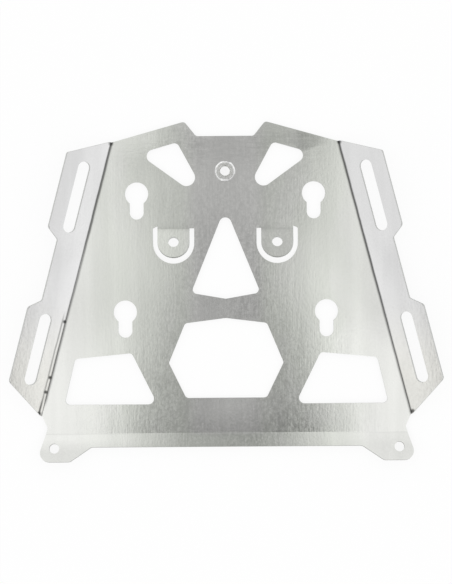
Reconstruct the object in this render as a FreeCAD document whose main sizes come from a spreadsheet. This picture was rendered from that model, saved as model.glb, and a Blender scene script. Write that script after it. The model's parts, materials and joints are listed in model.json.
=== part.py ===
"""Top case mounting plate: one laser-cut sheet, folded at both sides and at the rear.

The sheet is modelled lying on its flat panel, with every fold rising from it.
The origin is the axis of the front nut, on the face that the panel rests on.
+X is to the right, +Y to the front and +Z up. Lengths are millimetres, angles degrees.
"""

import FreeCAD, Part
import math
import os
import Sketcher

X_AXIS_LINE = -1
Y_AXIS_LINE = -2
ORIGIN_POINT = (-1, 1)
START = 1
END = 2
CENTRE = 3

# Driving dimensions. Reaches are measured from the front nut, ahead (+Y) or behind (-Y).
SIZES = {
    # sheet and folds
    "sheet_thickness": 3.0,
    "bend_radius": 3.0,
    "neutral_share": 0.42,
    "wing_angle": 25.0,
    "flange_angle": 11.0,
    "tongue_angle": 17.0,
    # front edge of the panel, half widths from the centre line
    "notch_half_width": 24.7,
    "notch_ahead": 30.3,
    "peak_half_width": 34.7,
    "peak_ahead": 42.8,
    # wing fold lines: front end, length and slant off the centre line
    "fold_front_half_width": 97.1,
    "fold_front_ahead": 25.3,
    "wing_fold_length": 242.5,
    "wing_slant_angle": 14.58,
    # step from the fold's rear end in to the neck, and back to the flange's fold
    "neck_inset": 4.6,
    "neck_step": 10.2,
    "flange_step": 4.5,
    # rear flange, depths measured from its fold, and its ears, inward from their outer corner
    "flange_depth": 11.5,
    "ear_depth": 24.1,
    "ear_flare_angle": 19.0,
    "ear_width": 28.7,
    "ear_slant_run": 18.5,
    "ear_hole_inset": 15.4,
    "ear_hole_depth": 12.5,
    "ear_hole_diameter": 8.5,
    # wings, measured along the fold from its front end and out from the fold
    "lobe_width": 35.0,
    "waist_width": 24.2,
    "lobe_length": 65.7,
    "lobe_shoulder": 8.2,
    "front_lobe_start": 18.2,
    "rear_lobe_start": 154.0,
    "strap_slot_offset": 17.15,
    "strap_slot_width": 11.0,
    "strap_slot_length": 62.5,
    "front_slot_set": 34.8,
    "rear_slot_set": 33.4,
    # keyholes, head to the front and slot to the rear
    "front_keyhole_half_spacing": 76.0,
    "front_keyhole_behind": 19.0,
    "rear_keyhole_half_spacing": 86.4,
    "rear_keyhole_behind": 120.4,
    "keyhole_head_diameter": 20.0,
    "keyhole_slot_width": 12.0,
    "keyhole_length": 32.0,
    # bolt tongues, cut free by a U-shaped slot
    "tongue_half_spacing": 44.5,
    "tongue_fold_behind": 48.8,
    "tongue_width": 27.5,
    "tongue_gap": 4.0,
    "tongue_flat_straight": 12.5,
    "tongue_hole_diameter": 9.0,
    "tongue_relief": 2.0,
    # front side window, its three sharp corners
    "wedge_peak_half_width": 41.1,
    "wedge_peak_ahead": 25.2,
    "wedge_outer_half_width": 74.4,
    "wedge_outer_ahead": 15.7,
    "wedge_foot_half_width": 11.1,
    "wedge_foot_behind": 30.2,
    # centre window, pointed at both ends
    "centre_apex_behind": 30.8,
    "centre_window_height": 73.5,
    "centre_point_drop": 5.2,
    "centre_foot_half_width": 29.8,
    # six-sided window: the web ahead of it, the rail behind it, and its widest point's height
    "hex_web": 16.5,
    "hex_rail": 29.6,
    "hex_point_rise": 4.4,
    "hex_shoulder_half_width": 35.2,
    "hex_side_half_width": 49.3,
    "hex_side_share": 0.47,
    "hex_foot_half_width": 34.6,
    # rear side window: the web between it and the rear keyhole, and the rail behind it
    "quad_web": 13.3,
    "quad_rail": 24.3,
    "quad_inner_top_half_width": 81.1,
    "quad_outer_top_half_width": 129.8,
    "quad_outer_top_drop": 4.6,
    "quad_outer_foot_half_width": 139.2,
    "quad_inner_foot_half_width": 59.2,
    # corner radii
    "small_corner_radius": 2.5,
    "panel_corner_radius": 3.5,
    "lobe_corner_radius": 4.0,
    "ear_corner_radius": 8.0,
    "ear_slant_radius": 5.0,
    "wedge_peak_radius": 4.5,
    "wedge_outer_radius": 5.8,
    "wedge_foot_radius": 7.4,
    "centre_apex_radius": 5.3,
    "window_corner_radius": 3.8,
    "quad_tip_radius": 5.0,
    # pressed-in front nut
    "nut_seat_diameter": 14.0,
    "nut_clearance": 0.05,
    "nut_setback": 0.4,
    "nut_rim": 2.1,
    "nut_height": 7.4,
    "nut_bore_diameter": 8.5,
    "nut_edge_chamfer": 1.4,
    "nut_mouth_chamfer": 0.9,
}

doc = FreeCAD.newDocument("mounting_plate")


def size_sheet():
    """Fill a spreadsheet with the driving dimensions, one alias each."""
    sheet = doc.addObject("Spreadsheet::Sheet", "Sizes")
    for row, (alias, value) in enumerate(SIZES.items(), start=1):
        sheet.set(f"A{row}", alias)
        sheet.set(f"B{row}", str(value))
        sheet.setAlias(f"B{row}", alias)
    doc.recompute()
    return sheet


sheet = size_sheet()


def cell(alias):
    """Expression that reads one driving dimension."""
    return f"Sizes.{alias}"


def number(expression):
    """Value of an expression over the driving dimensions."""
    value = sheet.evalExpression(expression)
    return float(getattr(value, "Value", value))


# Expressions that several features share
THICKNESS = cell("sheet_thickness")
OUTER_BEND = f"({THICKNESS} + {cell('bend_radius')})"
FOLD_LENGTH = cell("wing_fold_length")
FOLD_SLANT = cell("wing_slant_angle")
FOLD_REAR_X = f"({cell('fold_front_half_width')} + {FOLD_LENGTH} * sin({FOLD_SLANT}))"
FOLD_REAR_Y = f"({cell('fold_front_ahead')} - {FOLD_LENGTH} * cos({FOLD_SLANT}))"
NECK_X = f"({FOLD_REAR_X} - {cell('neck_inset')})"
NECK_Y = f"({FOLD_REAR_Y} - {cell('neck_step')})"
FLANGE_FOLD_Y = f"({NECK_Y} - {cell('flange_step')})"
EAR_ROOT_X = f"({NECK_X} + {cell('flange_step')} * tan({cell('ear_flare_angle')}))"
EAR_OUTER_X = f"({EAR_ROOT_X} + {cell('ear_depth')} * tan({cell('ear_flare_angle')}))"
KEYHOLE_END = f"({cell('keyhole_length')} - {cell('keyhole_head_diameter')} / 2)"


def behind(alias):
    """Y position of a reach that lies behind the front nut."""
    return f"(-{cell(alias)})"


def placement(x, y, z, yaw="0", pitch="0", roll="0"):
    """Expression for a placement from a base point and three turns."""
    base = f"create(<<vector>>; {x}; {y}; {z})"
    turn = f"create(<<rotation>>; {yaw}; {pitch}; {roll})"
    return f"create(<<placement>>; {base}; {turn})"


def new_sketch(body, name, role="XY_Plane", offset=None):
    """Sketch on one of the body's origin planes, moved by an optional placement."""
    sketch = body.newObject("Sketcher::SketchObject", name)
    plane = next(f for f in body.Origin.OriginFeatures if f.Role == role)
    sketch.AttachmentSupport = [(plane, "")]
    sketch.MapMode = "FlatFace"
    if offset:
        sketch.setExpression("AttachmentOffset", offset)
    doc.recompute()
    return sketch


def bind(sketch, constraint, expression):
    """Add a dimension to a sketch and drive it by an expression."""
    index = sketch.addConstraint(constraint)
    sketch.setExpression(f"Constraints[{index}]", expression)


def pin_point(sketch, geometry, point, x, y):
    """Hold a sketch point at a driven position."""
    for kind, axis, expression in (("DistanceX", Y_AXIS_LINE, x), ("DistanceY", X_AXIS_LINE, y)):
        value = number(expression)
        if abs(value) < 1e-9:
            sketch.addConstraint(Sketcher.Constraint("PointOnObject", geometry, point, axis))
        else:
            constraint = Sketcher.Constraint(kind, *ORIGIN_POINT, geometry, point, value)
            bind(sketch, constraint, expression)


def outline(sketch, corners):
    """Closed outline through corners (x, y, radius); a radius of None leaves the corner sharp."""
    points = [FreeCAD.Vector(number(x), number(y), 0) for x, y, _ in corners]
    count = len(corners)
    leaves, arrives, arcs = [], [], []
    for i, (_, _, radius) in enumerate(corners):
        corner = points[i]
        if radius is None:
            arrives.append(corner)
            leaves.append(corner)
            arcs.append(None)
            continue
        r = number(radius)
        to_last = (points[i - 1] - corner).normalize()
        to_next = (points[(i + 1) % count] - corner).normalize()
        half_angle = to_last.getAngle(to_next) / 2
        reach = r / math.tan(half_angle)
        centre = corner + (to_last + to_next).normalize() * (r / math.sin(half_angle))
        arrives.append(corner + to_last * reach)
        leaves.append(corner + to_next * reach)
        turns_left = to_last.cross(to_next).z < 0
        arcs.append((centre, r, turns_left))

    lines = []
    for i in range(count):
        segment = Part.LineSegment(leaves[i], arrives[(i + 1) % count])
        lines.append(sketch.addGeometry(segment, False))
    for i, (x, y, radius) in enumerate(corners):
        before, after = lines[i - 1], lines[i]
        if radius is None:
            sketch.addConstraint(Sketcher.Constraint("Coincident", before, END, after, START))
            pin_point(sketch, after, START, x, y)
            continue
        centre, r, turns_left = arcs[i]
        first, last = (arrives[i], leaves[i]) if turns_left else (leaves[i], arrives[i])
        start = math.atan2(first.y - centre.y, first.x - centre.x)
        stop = math.atan2(last.y - centre.y, last.x - centre.x)
        circle = Part.Circle(centre, FreeCAD.Vector(0, 0, 1), r)
        arc = sketch.addGeometry(Part.ArcOfCircle(circle, start, stop), False)
        near, far = (START, END) if turns_left else (END, START)
        sketch.addConstraint(Sketcher.Constraint("Tangent", before, END, arc, near))
        sketch.addConstraint(Sketcher.Constraint("Tangent", arc, far, after, START))
        bind(sketch, Sketcher.Constraint("Radius", arc, r), radius)
        apex = sketch.addGeometry(Part.Point(points[i]), True)
        sketch.addConstraint(Sketcher.Constraint("PointOnObject", apex, START, before))
        sketch.addConstraint(Sketcher.Constraint("PointOnObject", apex, START, after))
        pin_point(sketch, apex, START, x, y)


def circle(sketch, x, y, diameter):
    """Full circle with a driven centre and diameter."""
    centre = FreeCAD.Vector(number(x), number(y), 0)
    value = number(diameter)
    ring = sketch.addGeometry(Part.Circle(centre, FreeCAD.Vector(0, 0, 1), value / 2), False)
    bind(sketch, Sketcher.Constraint("Diameter", ring, value), diameter)
    pin_point(sketch, ring, CENTRE, x, y)


def upright_slot(sketch, x, low, high, width):
    """Round-ended slot along the sketch's Y, between the centres of its two ends."""
    radius = f"({width} / 2)"
    r = number(radius)
    ends = [FreeCAD.Vector(number(x), number(y), 0) for y in (low, high)]
    up = FreeCAD.Vector(0, 0, 1)
    side = FreeCAD.Vector(r, 0, 0)
    foot = sketch.addGeometry(Part.ArcOfCircle(Part.Circle(ends[0], up, r), math.pi, 2 * math.pi), False)
    right = sketch.addGeometry(Part.LineSegment(ends[0] + side, ends[1] + side), False)
    head = sketch.addGeometry(Part.ArcOfCircle(Part.Circle(ends[1], up, r), 0, math.pi), False)
    left = sketch.addGeometry(Part.LineSegment(ends[1] - side, ends[0] - side), False)
    for first, second in ((foot, right), (right, head), (head, left), (left, foot)):
        sketch.addConstraint(Sketcher.Constraint("Tangent", first, END, second, START))
    bind(sketch, Sketcher.Constraint("Radius", foot, r), radius)
    pin_point(sketch, foot, CENTRE, x, low)
    pin_point(sketch, head, CENTRE, x, high)


def arch(sketch, x, y, radius, corners):
    """Closed outline: a half circle below its centre, then sharp corners from right to left."""
    centre = FreeCAD.Vector(number(x), number(y), 0)
    r = number(radius)
    ring = Part.Circle(centre, FreeCAD.Vector(0, 0, 1), r)
    arc = sketch.addGeometry(Part.ArcOfCircle(ring, math.pi, 2 * math.pi), False)
    bind(sketch, Sketcher.Constraint("Radius", arc, r), radius)
    pin_point(sketch, arc, CENTRE, x, y)
    for end in (START, END):
        sketch.addConstraint(Sketcher.Constraint("Horizontal", arc, CENTRE, arc, end))
    side = FreeCAD.Vector(r, 0, 0)
    points = [FreeCAD.Vector(number(cx), number(cy), 0) for cx, cy in corners]
    path = [centre + side] + points + [centre - side]
    last = arc
    for i, (first, second) in enumerate(zip(path, path[1:])):
        line = sketch.addGeometry(Part.LineSegment(first, second), False)
        sketch.addConstraint(Sketcher.Constraint("Coincident", last, END, line, START))
        if i > 0:
            pin_point(sketch, line, START, *corners[i - 1])
        last = line
    sketch.addConstraint(Sketcher.Constraint("Coincident", last, END, arc, START))


def feature(body, kind, name, sketch, driven, **fixed):
    """Solid feature from a sketch: some properties driven by an expression, others set once."""
    made = body.newObject(f"PartDesign::{kind}", name)
    made.Profile = sketch
    for prop, value in fixed.items():
        setattr(made, prop, value)
    for prop, expression in driven.items():
        made.setExpression(prop, expression)
    body.Tip = made
    doc.recompute()
    return made


def cut(body, name, sketch):
    """Pocket a sketch right through the panel and prove that it removed material."""
    before = body.Shape.Volume
    made = feature(body, "Pocket", name, sketch, {}, Type="ThroughAll", Reversed=True)
    if not made.Shape.Volume < before - 1:
        raise RuntimeError(f"{name} removes nothing")
    return made


def fold(body, name, width_start, width_end, offset, angle, reverse):
    """Bent strip of sheet, swept from an edge of the panel about the fold's axis."""
    sketch = new_sketch(body, f"{name}_section", "XY_Plane", offset)
    outline(sketch, [
        (width_start, "0", None),
        (width_end, "0", None),
        (width_end, THICKNESS, None),
        (width_start, THICKNESS, None),
    ])
    height = number(OUTER_BEND)
    ends = [FreeCAD.Vector(number(x), height, 0) for x in (width_start, width_end)]
    axis = sketch.addGeometry(Part.LineSegment(*ends), True)
    pin_point(sketch, axis, START, width_start, OUTER_BEND)
    pin_point(sketch, axis, END, width_end, OUTER_BEND)
    doc.recompute()
    feature(body, "Revolution", name, sketch, {"Angle": angle},
            ReferenceAxis=(sketch, ["Axis0"]), Reversed=reverse)


def beyond_fold(angle):
    """How far a fold has carried the sheet's lower face along and up when it ends."""
    return f"({OUTER_BEND} * sin({angle}))", f"({OUTER_BEND} * (1 - cos({angle})))"


def panel(body):
    """Right half of the flat panel, out to the fold lines."""
    sketch = new_sketch(body, "panel_outline")
    corner = cell("panel_corner_radius")
    outline(sketch, [
        ("0", cell("notch_ahead"), None),
        ("0", FLANGE_FOLD_Y, None),
        (EAR_ROOT_X, FLANGE_FOLD_Y, None),
        (NECK_X, NECK_Y, cell("small_corner_radius")),
        (FOLD_REAR_X, FOLD_REAR_Y, None),
        (cell("fold_front_half_width"), cell("fold_front_ahead"), None),
        (cell("peak_half_width"), cell("peak_ahead"), corner),
        (cell("notch_half_width"), cell("notch_ahead"), corner),
    ])
    feature(body, "Pad", "panel_pad", sketch, {"Length": THICKNESS})


def wing(body):
    """Side wing: folded up along the slanted line, with two lobes and a strap slot in each."""
    angle = cell("wing_angle")
    start = placement(cell("fold_front_half_width"), cell("fold_front_ahead"), "0",
                      yaw=f"({FOLD_SLANT} - 90)", roll="90")
    fold(body, "wing_fold", "0", FOLD_LENGTH, start, angle, False)

    run, rise = beyond_fold(angle)
    plane = placement(
        f"({cell('fold_front_half_width')} + {run} * cos({FOLD_SLANT}))",
        f"({cell('fold_front_ahead')} + {run} * sin({FOLD_SLANT}))",
        rise, yaw=FOLD_SLANT, pitch=f"(-{angle})")
    sketch = new_sketch(body, "wing_outline", "XY_Plane", plane)
    lobe, waist = cell("lobe_width"), cell("waist_width")
    front, rear = cell("front_lobe_start"), cell("rear_lobe_start")
    length, shoulder = cell("lobe_length"), cell("lobe_shoulder")
    corner = cell("lobe_corner_radius")
    small = cell("small_corner_radius")
    outline(sketch, [
        ("0", "0", None),
        ("0", f"(-{FOLD_LENGTH})", None),
        (lobe, f"(-{rear} - {length})", corner),
        (lobe, f"(-{rear})", corner),
        (waist, f"(-{rear} + {shoulder})", small),
        (waist, f"(-{front} - {length} - {shoulder})", small),
        (lobe, f"(-{front} - {length})", corner),
        (lobe, f"(-{front})", small),
    ])
    half_travel = f"({cell('strap_slot_length')} - {cell('strap_slot_width')}) / 2"
    for start, slot_set in ((front, "front_slot_set"), (rear, "rear_slot_set")):
        middle = f"(-{start} - {cell(slot_set)})"
        upright_slot(sketch, cell("strap_slot_offset"), f"({middle} - {half_travel})",
                     f"({middle} + {half_travel})", cell("strap_slot_width"))
    feature(body, "Pad", "wing_pad", sketch, {"Length": THICKNESS})


def flange(body):
    """Right half of the rear flange, folded up, with its ear and bolt hole."""
    angle = cell("flange_angle")
    start = placement("0", FLANGE_FOLD_Y, "0", roll="90")
    fold(body, "flange_fold", "0", EAR_ROOT_X, start, angle, True)

    run, rise = beyond_fold(angle)
    plane = placement("0", f"({FLANGE_FOLD_Y} - {run})", rise, roll=f"(-{angle})")
    sketch = new_sketch(body, "flange_outline", "XY_Plane", plane)
    slant = cell("ear_slant_radius")
    slant_foot = f"({EAR_OUTER_X} - {cell('ear_width')})"
    outline(sketch, [
        ("0", "0", None),
        ("0", behind("flange_depth"), None),
        (f"({slant_foot} - {cell('ear_slant_run')})", behind("flange_depth"), slant),
        (slant_foot, behind("ear_depth"), slant),
        (EAR_OUTER_X, behind("ear_depth"), cell("ear_corner_radius")),
        (EAR_ROOT_X, "0", None),
    ])
    circle(sketch, f"({EAR_OUTER_X} - {cell('ear_hole_inset')})", behind("ear_hole_depth"),
           cell("ear_hole_diameter"))
    feature(body, "Pad", "flange_pad", sketch, {"Length": THICKNESS})


def side_windows(body):
    """Front wedge and rear four-sided window of the right half."""
    sketch = new_sketch(body, "side_windows_outline")
    outline(sketch, [
        (cell("wedge_peak_half_width"), cell("wedge_peak_ahead"), cell("wedge_peak_radius")),
        (cell("wedge_foot_half_width"), behind("wedge_foot_behind"), cell("wedge_foot_radius")),
        (cell("wedge_outer_half_width"), cell("wedge_outer_ahead"), cell("wedge_outer_radius")),
    ])
    corner = cell("window_corner_radius")
    top = f"({behind('rear_keyhole_behind')} - {KEYHOLE_END} - {cell('quad_web')})"
    foot = f"({FLANGE_FOLD_Y} + {cell('quad_rail')})"
    outline(sketch, [
        (cell("quad_inner_top_half_width"), top, corner),
        (cell("quad_inner_foot_half_width"), foot, cell("quad_tip_radius")),
        (cell("quad_outer_foot_half_width"), foot, corner),
        (cell("quad_outer_top_half_width"), f"({top} - {cell('quad_outer_top_drop')})", corner),
    ])
    cut(body, "side_windows", sketch)


def keyholes(body):
    """Two keyholes of the right half: a round head with a narrower slot running to the rear."""
    heads = new_sketch(body, "keyhole_heads_outline")
    slots = new_sketch(body, "keyhole_slots_outline")
    head, width = cell("keyhole_head_diameter"), cell("keyhole_slot_width")
    travel = f"({KEYHOLE_END} - {width} / 2)"
    for place in ("front", "rear"):
        x = cell(f"{place}_keyhole_half_spacing")
        y = behind(f"{place}_keyhole_behind")
        circle(heads, x, y, head)
        upright_slot(slots, x, f"({y} - {travel})", y, width)
    cut(body, "keyhole_heads", heads)
    cut(body, "keyhole_slots", slots)


def tongue(body):
    """Bolt tongue: freed by a U-shaped slot and folded up from its front end."""
    centre = cell("tongue_half_spacing")
    fold_line = behind("tongue_fold_behind")
    half = f"({cell('tongue_width')} / 2)"
    outer = f"({half} + {cell('tongue_gap')})"
    window = new_sketch(body, "tongue_window_outline")
    arc_centre = f"({fold_line} - {cell('tongue_flat_straight')})"
    arch(window, centre, arc_centre, outer, [
        (f"({centre} + {outer})", fold_line),
        (f"({centre} + {half})", f"({fold_line} + {cell('tongue_relief')})"),
        (f"({centre} + {half})", fold_line),
        (f"({centre} - {outer})", fold_line),
    ])
    cut(body, "tongue_window", window)

    angle = cell("tongue_angle")
    start = placement(centre, fold_line, "0", roll="90")
    fold(body, "tongue_fold", f"(-{half})", half, start, angle, True)

    run, rise = beyond_fold(angle)
    plane = placement(centre, f"({fold_line} - {run})", rise, roll=f"(-{angle})")
    sketch = new_sketch(body, "tongue_outline", "XY_Plane", plane)
    bend_length = f"({angle} * pi / 180 * ({cell('bend_radius')} + {cell('neutral_share')} * {THICKNESS}))"
    straight = f"({cell('tongue_flat_straight')} - {bend_length})"
    arch(sketch, "0", f"(-{straight})", half, [(half, "0"), (f"(-{half})", "0")])
    circle(sketch, "0", f"(-{straight})", cell("tongue_hole_diameter"))
    feature(body, "Pad", "tongue_pad", sketch, {"Length": THICKNESS})


def centre_windows(body):
    """Openings that cross the centre line: pointed window, six-sided window and nut seat."""
    sketch = new_sketch(body, "centre_windows_outline")
    corner = cell("window_corner_radius")
    small = cell("small_corner_radius")
    foot = cell("centre_foot_half_width")
    foot_y = f"({behind('centre_apex_behind')} - {cell('centre_window_height')})"
    point_y = f"({foot_y} - {cell('centre_point_drop')})"
    outline(sketch, [
        ("0", behind("centre_apex_behind"), cell("centre_apex_radius")),
        (f"(-{foot})", foot_y, corner),
        ("0", point_y, corner),
        (foot, foot_y, corner),
    ])
    hex_top = f"({point_y} - {cell('hex_web')})"
    shoulder = f"({hex_top} - {cell('hex_point_rise')})"
    hex_foot = f"({FLANGE_FOLD_Y} + {cell('hex_rail')})"
    side = f"({hex_foot} + {cell('hex_side_share')} * ({shoulder} - {hex_foot}))"
    right = [
        (cell("hex_foot_half_width"), hex_foot, corner),
        (cell("hex_side_half_width"), side, small),
        (cell("hex_shoulder_half_width"), shoulder, corner),
    ]
    left = [(f"(-{x})", y, radius) for x, y, radius in reversed(right)]
    outline(sketch, right + [("0", hex_top, small)] + left)
    circle(sketch, "0", "0", cell("nut_seat_diameter"))
    cut(body, "centre_windows", sketch)


def mounting_plate():
    """The folded sheet: its right half, mirrored whole, then the openings on the centre line."""
    body = doc.addObject("PartDesign::Body", "mounting_plate")
    body.Label = "mounting_plate"
    panel(body)
    wing(body)
    flange(body)
    side_windows(body)
    keyholes(body)
    tongue(body)
    mirror = body.newObject("PartDesign::Mirrored", "left_half")
    mirror.TransformMode = "Whole shape"
    side_plane = next(f for f in body.Origin.OriginFeatures if f.Role == "YZ_Plane")
    mirror.MirrorPlane = (side_plane, [""])
    body.Tip = mirror
    doc.recompute()
    centre_windows(body)
    return body


def front_nut():
    """Round press-in nut: turned body on the panel's upper face, shank in the panel's seat."""
    body = doc.addObject("PartDesign::Body", "front_nut")
    body.Label = "front_nut"
    body.setExpression("Placement.Base.z", THICKNESS)
    sketch = new_sketch(body, "nut_section", "XZ_Plane")
    bore = f"({cell('nut_bore_diameter')} / 2)"
    seat = f"({cell('nut_seat_diameter')} / 2)"
    barrel = f"({seat} + {cell('nut_rim')})"
    shank = f"({seat} - {cell('nut_clearance')})"
    foot = f"({cell('nut_setback')} - {THICKNESS})"
    height = cell("nut_height")
    edge, mouth = cell("nut_edge_chamfer"), cell("nut_mouth_chamfer")
    outline(sketch, [
        (bore, f"({foot} + {mouth})", None),
        (f"({bore} + {mouth})", foot, None),
        (shank, foot, None),
        (shank, "0", None),
        (barrel, "0", None),
        (barrel, f"({height} - {edge})", None),
        (f"({barrel} - {edge})", height, None),
        (f"({bore} + {mouth})", height, None),
        (bore, f"({height} - {mouth})", None),
    ])
    feature(body, "Revolution", "nut_turning", sketch, {}, ReferenceAxis=(sketch, ["V_Axis"]))
    return body


def check_and_export(bodies):
    """Refuse a failed object or an unsound solid, then write one file per sub-part."""
    doc.recompute()
    for item in doc.Objects:
        if "Invalid" in item.State or "Error" in item.State:
            raise RuntimeError(f"{item.Name} failed: {item.State}")
    os.makedirs("parts", exist_ok=True)
    for body in bodies:
        shape = body.Shape
        if shape.isNull() or not shape.isValid() or len(shape.Solids) != 1:
            raise RuntimeError(f"{body.Label} is not one sound solid")
        shape.exportStep(f"parts/{body.Label}.step")
        box = shape.BoundBox
        print(body.Label, f"volume {shape.Volume:.1f}",
              f"X {box.XMin:.2f}..{box.XMax:.2f}",
              f"Y {box.YMin:.2f}..{box.YMax:.2f}",
              f"Z {box.ZMin:.2f}..{box.ZMax:.2f}")


check_and_export([mounting_plate(), front_nut()])
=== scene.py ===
"""Dress the folded mounting plate and its pressed-in front nut, seen from above on a pale floor.

Lengths are metres in the part's own frame: +X right, +Y front, +Z up, with the origin on the
front nut's axis, in the plane that the sheet lies on.
"""

import json
import logging
import math
from dataclasses import dataclass
from enum import Enum
from functools import reduce

import bmesh
import bpy
import numpy as np
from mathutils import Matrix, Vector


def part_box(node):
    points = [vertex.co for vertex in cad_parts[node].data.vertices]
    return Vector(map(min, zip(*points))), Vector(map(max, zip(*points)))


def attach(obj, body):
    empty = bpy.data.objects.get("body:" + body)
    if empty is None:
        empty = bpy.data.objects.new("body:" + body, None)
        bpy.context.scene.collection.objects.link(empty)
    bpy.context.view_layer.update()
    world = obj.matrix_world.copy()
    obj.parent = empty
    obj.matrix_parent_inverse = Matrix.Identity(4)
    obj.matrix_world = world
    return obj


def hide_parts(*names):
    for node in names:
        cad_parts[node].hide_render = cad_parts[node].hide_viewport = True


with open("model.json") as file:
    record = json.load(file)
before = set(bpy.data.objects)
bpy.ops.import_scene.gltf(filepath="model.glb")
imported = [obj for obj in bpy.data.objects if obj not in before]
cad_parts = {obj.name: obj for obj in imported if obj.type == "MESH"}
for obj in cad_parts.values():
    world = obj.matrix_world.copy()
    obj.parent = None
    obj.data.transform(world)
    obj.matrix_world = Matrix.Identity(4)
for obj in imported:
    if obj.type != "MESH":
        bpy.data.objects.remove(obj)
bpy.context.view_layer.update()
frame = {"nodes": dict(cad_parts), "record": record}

LOG = logging.getLogger("mounting_plate")
MM = 0.001
WHITE = (1.0, 1.0, 1.0, 1.0)
BLACK = (0.0, 0.0, 0.0, 1.0)
LEFT, RIGHT, FRONT = (-1.0, 0.0, 0.0), (1.0, 0.0, 0.0), (0.0, 1.0, 0.0)
NOISE_RANGE = (0.3, 0.7)

Pair = tuple[float, float]
Triple = tuple[float, float, float]
Colour = tuple[float, float, float, float]
Stops = tuple[Pair, ...]
Array = np.ndarray
Socket = bpy.types.NodeSocket
Value = Socket | float | Colour
Inputs = dict[str | int, Value | None]


def mm(first: float, second: float) -> Pair:
    """Two lengths in millimetres, as metres."""
    return first * MM, second * MM


class SheetFace(Enum):
    """Material slots of the folded sheet: its rolled skin and its laser-cut walls."""

    SKIN = 0
    CUT = 1


class Op(Enum):
    """Math node operations that the finishes use."""

    ADD = "ADD"
    SUBTRACT = "SUBTRACT"
    MULTIPLY = "MULTIPLY"
    DIVIDE = "DIVIDE"
    ABSOLUTE = "ABSOLUTE"
    MAXIMUM = "MAXIMUM"
    SINE = "SINE"
    SQRT = "SQRT"


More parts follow.
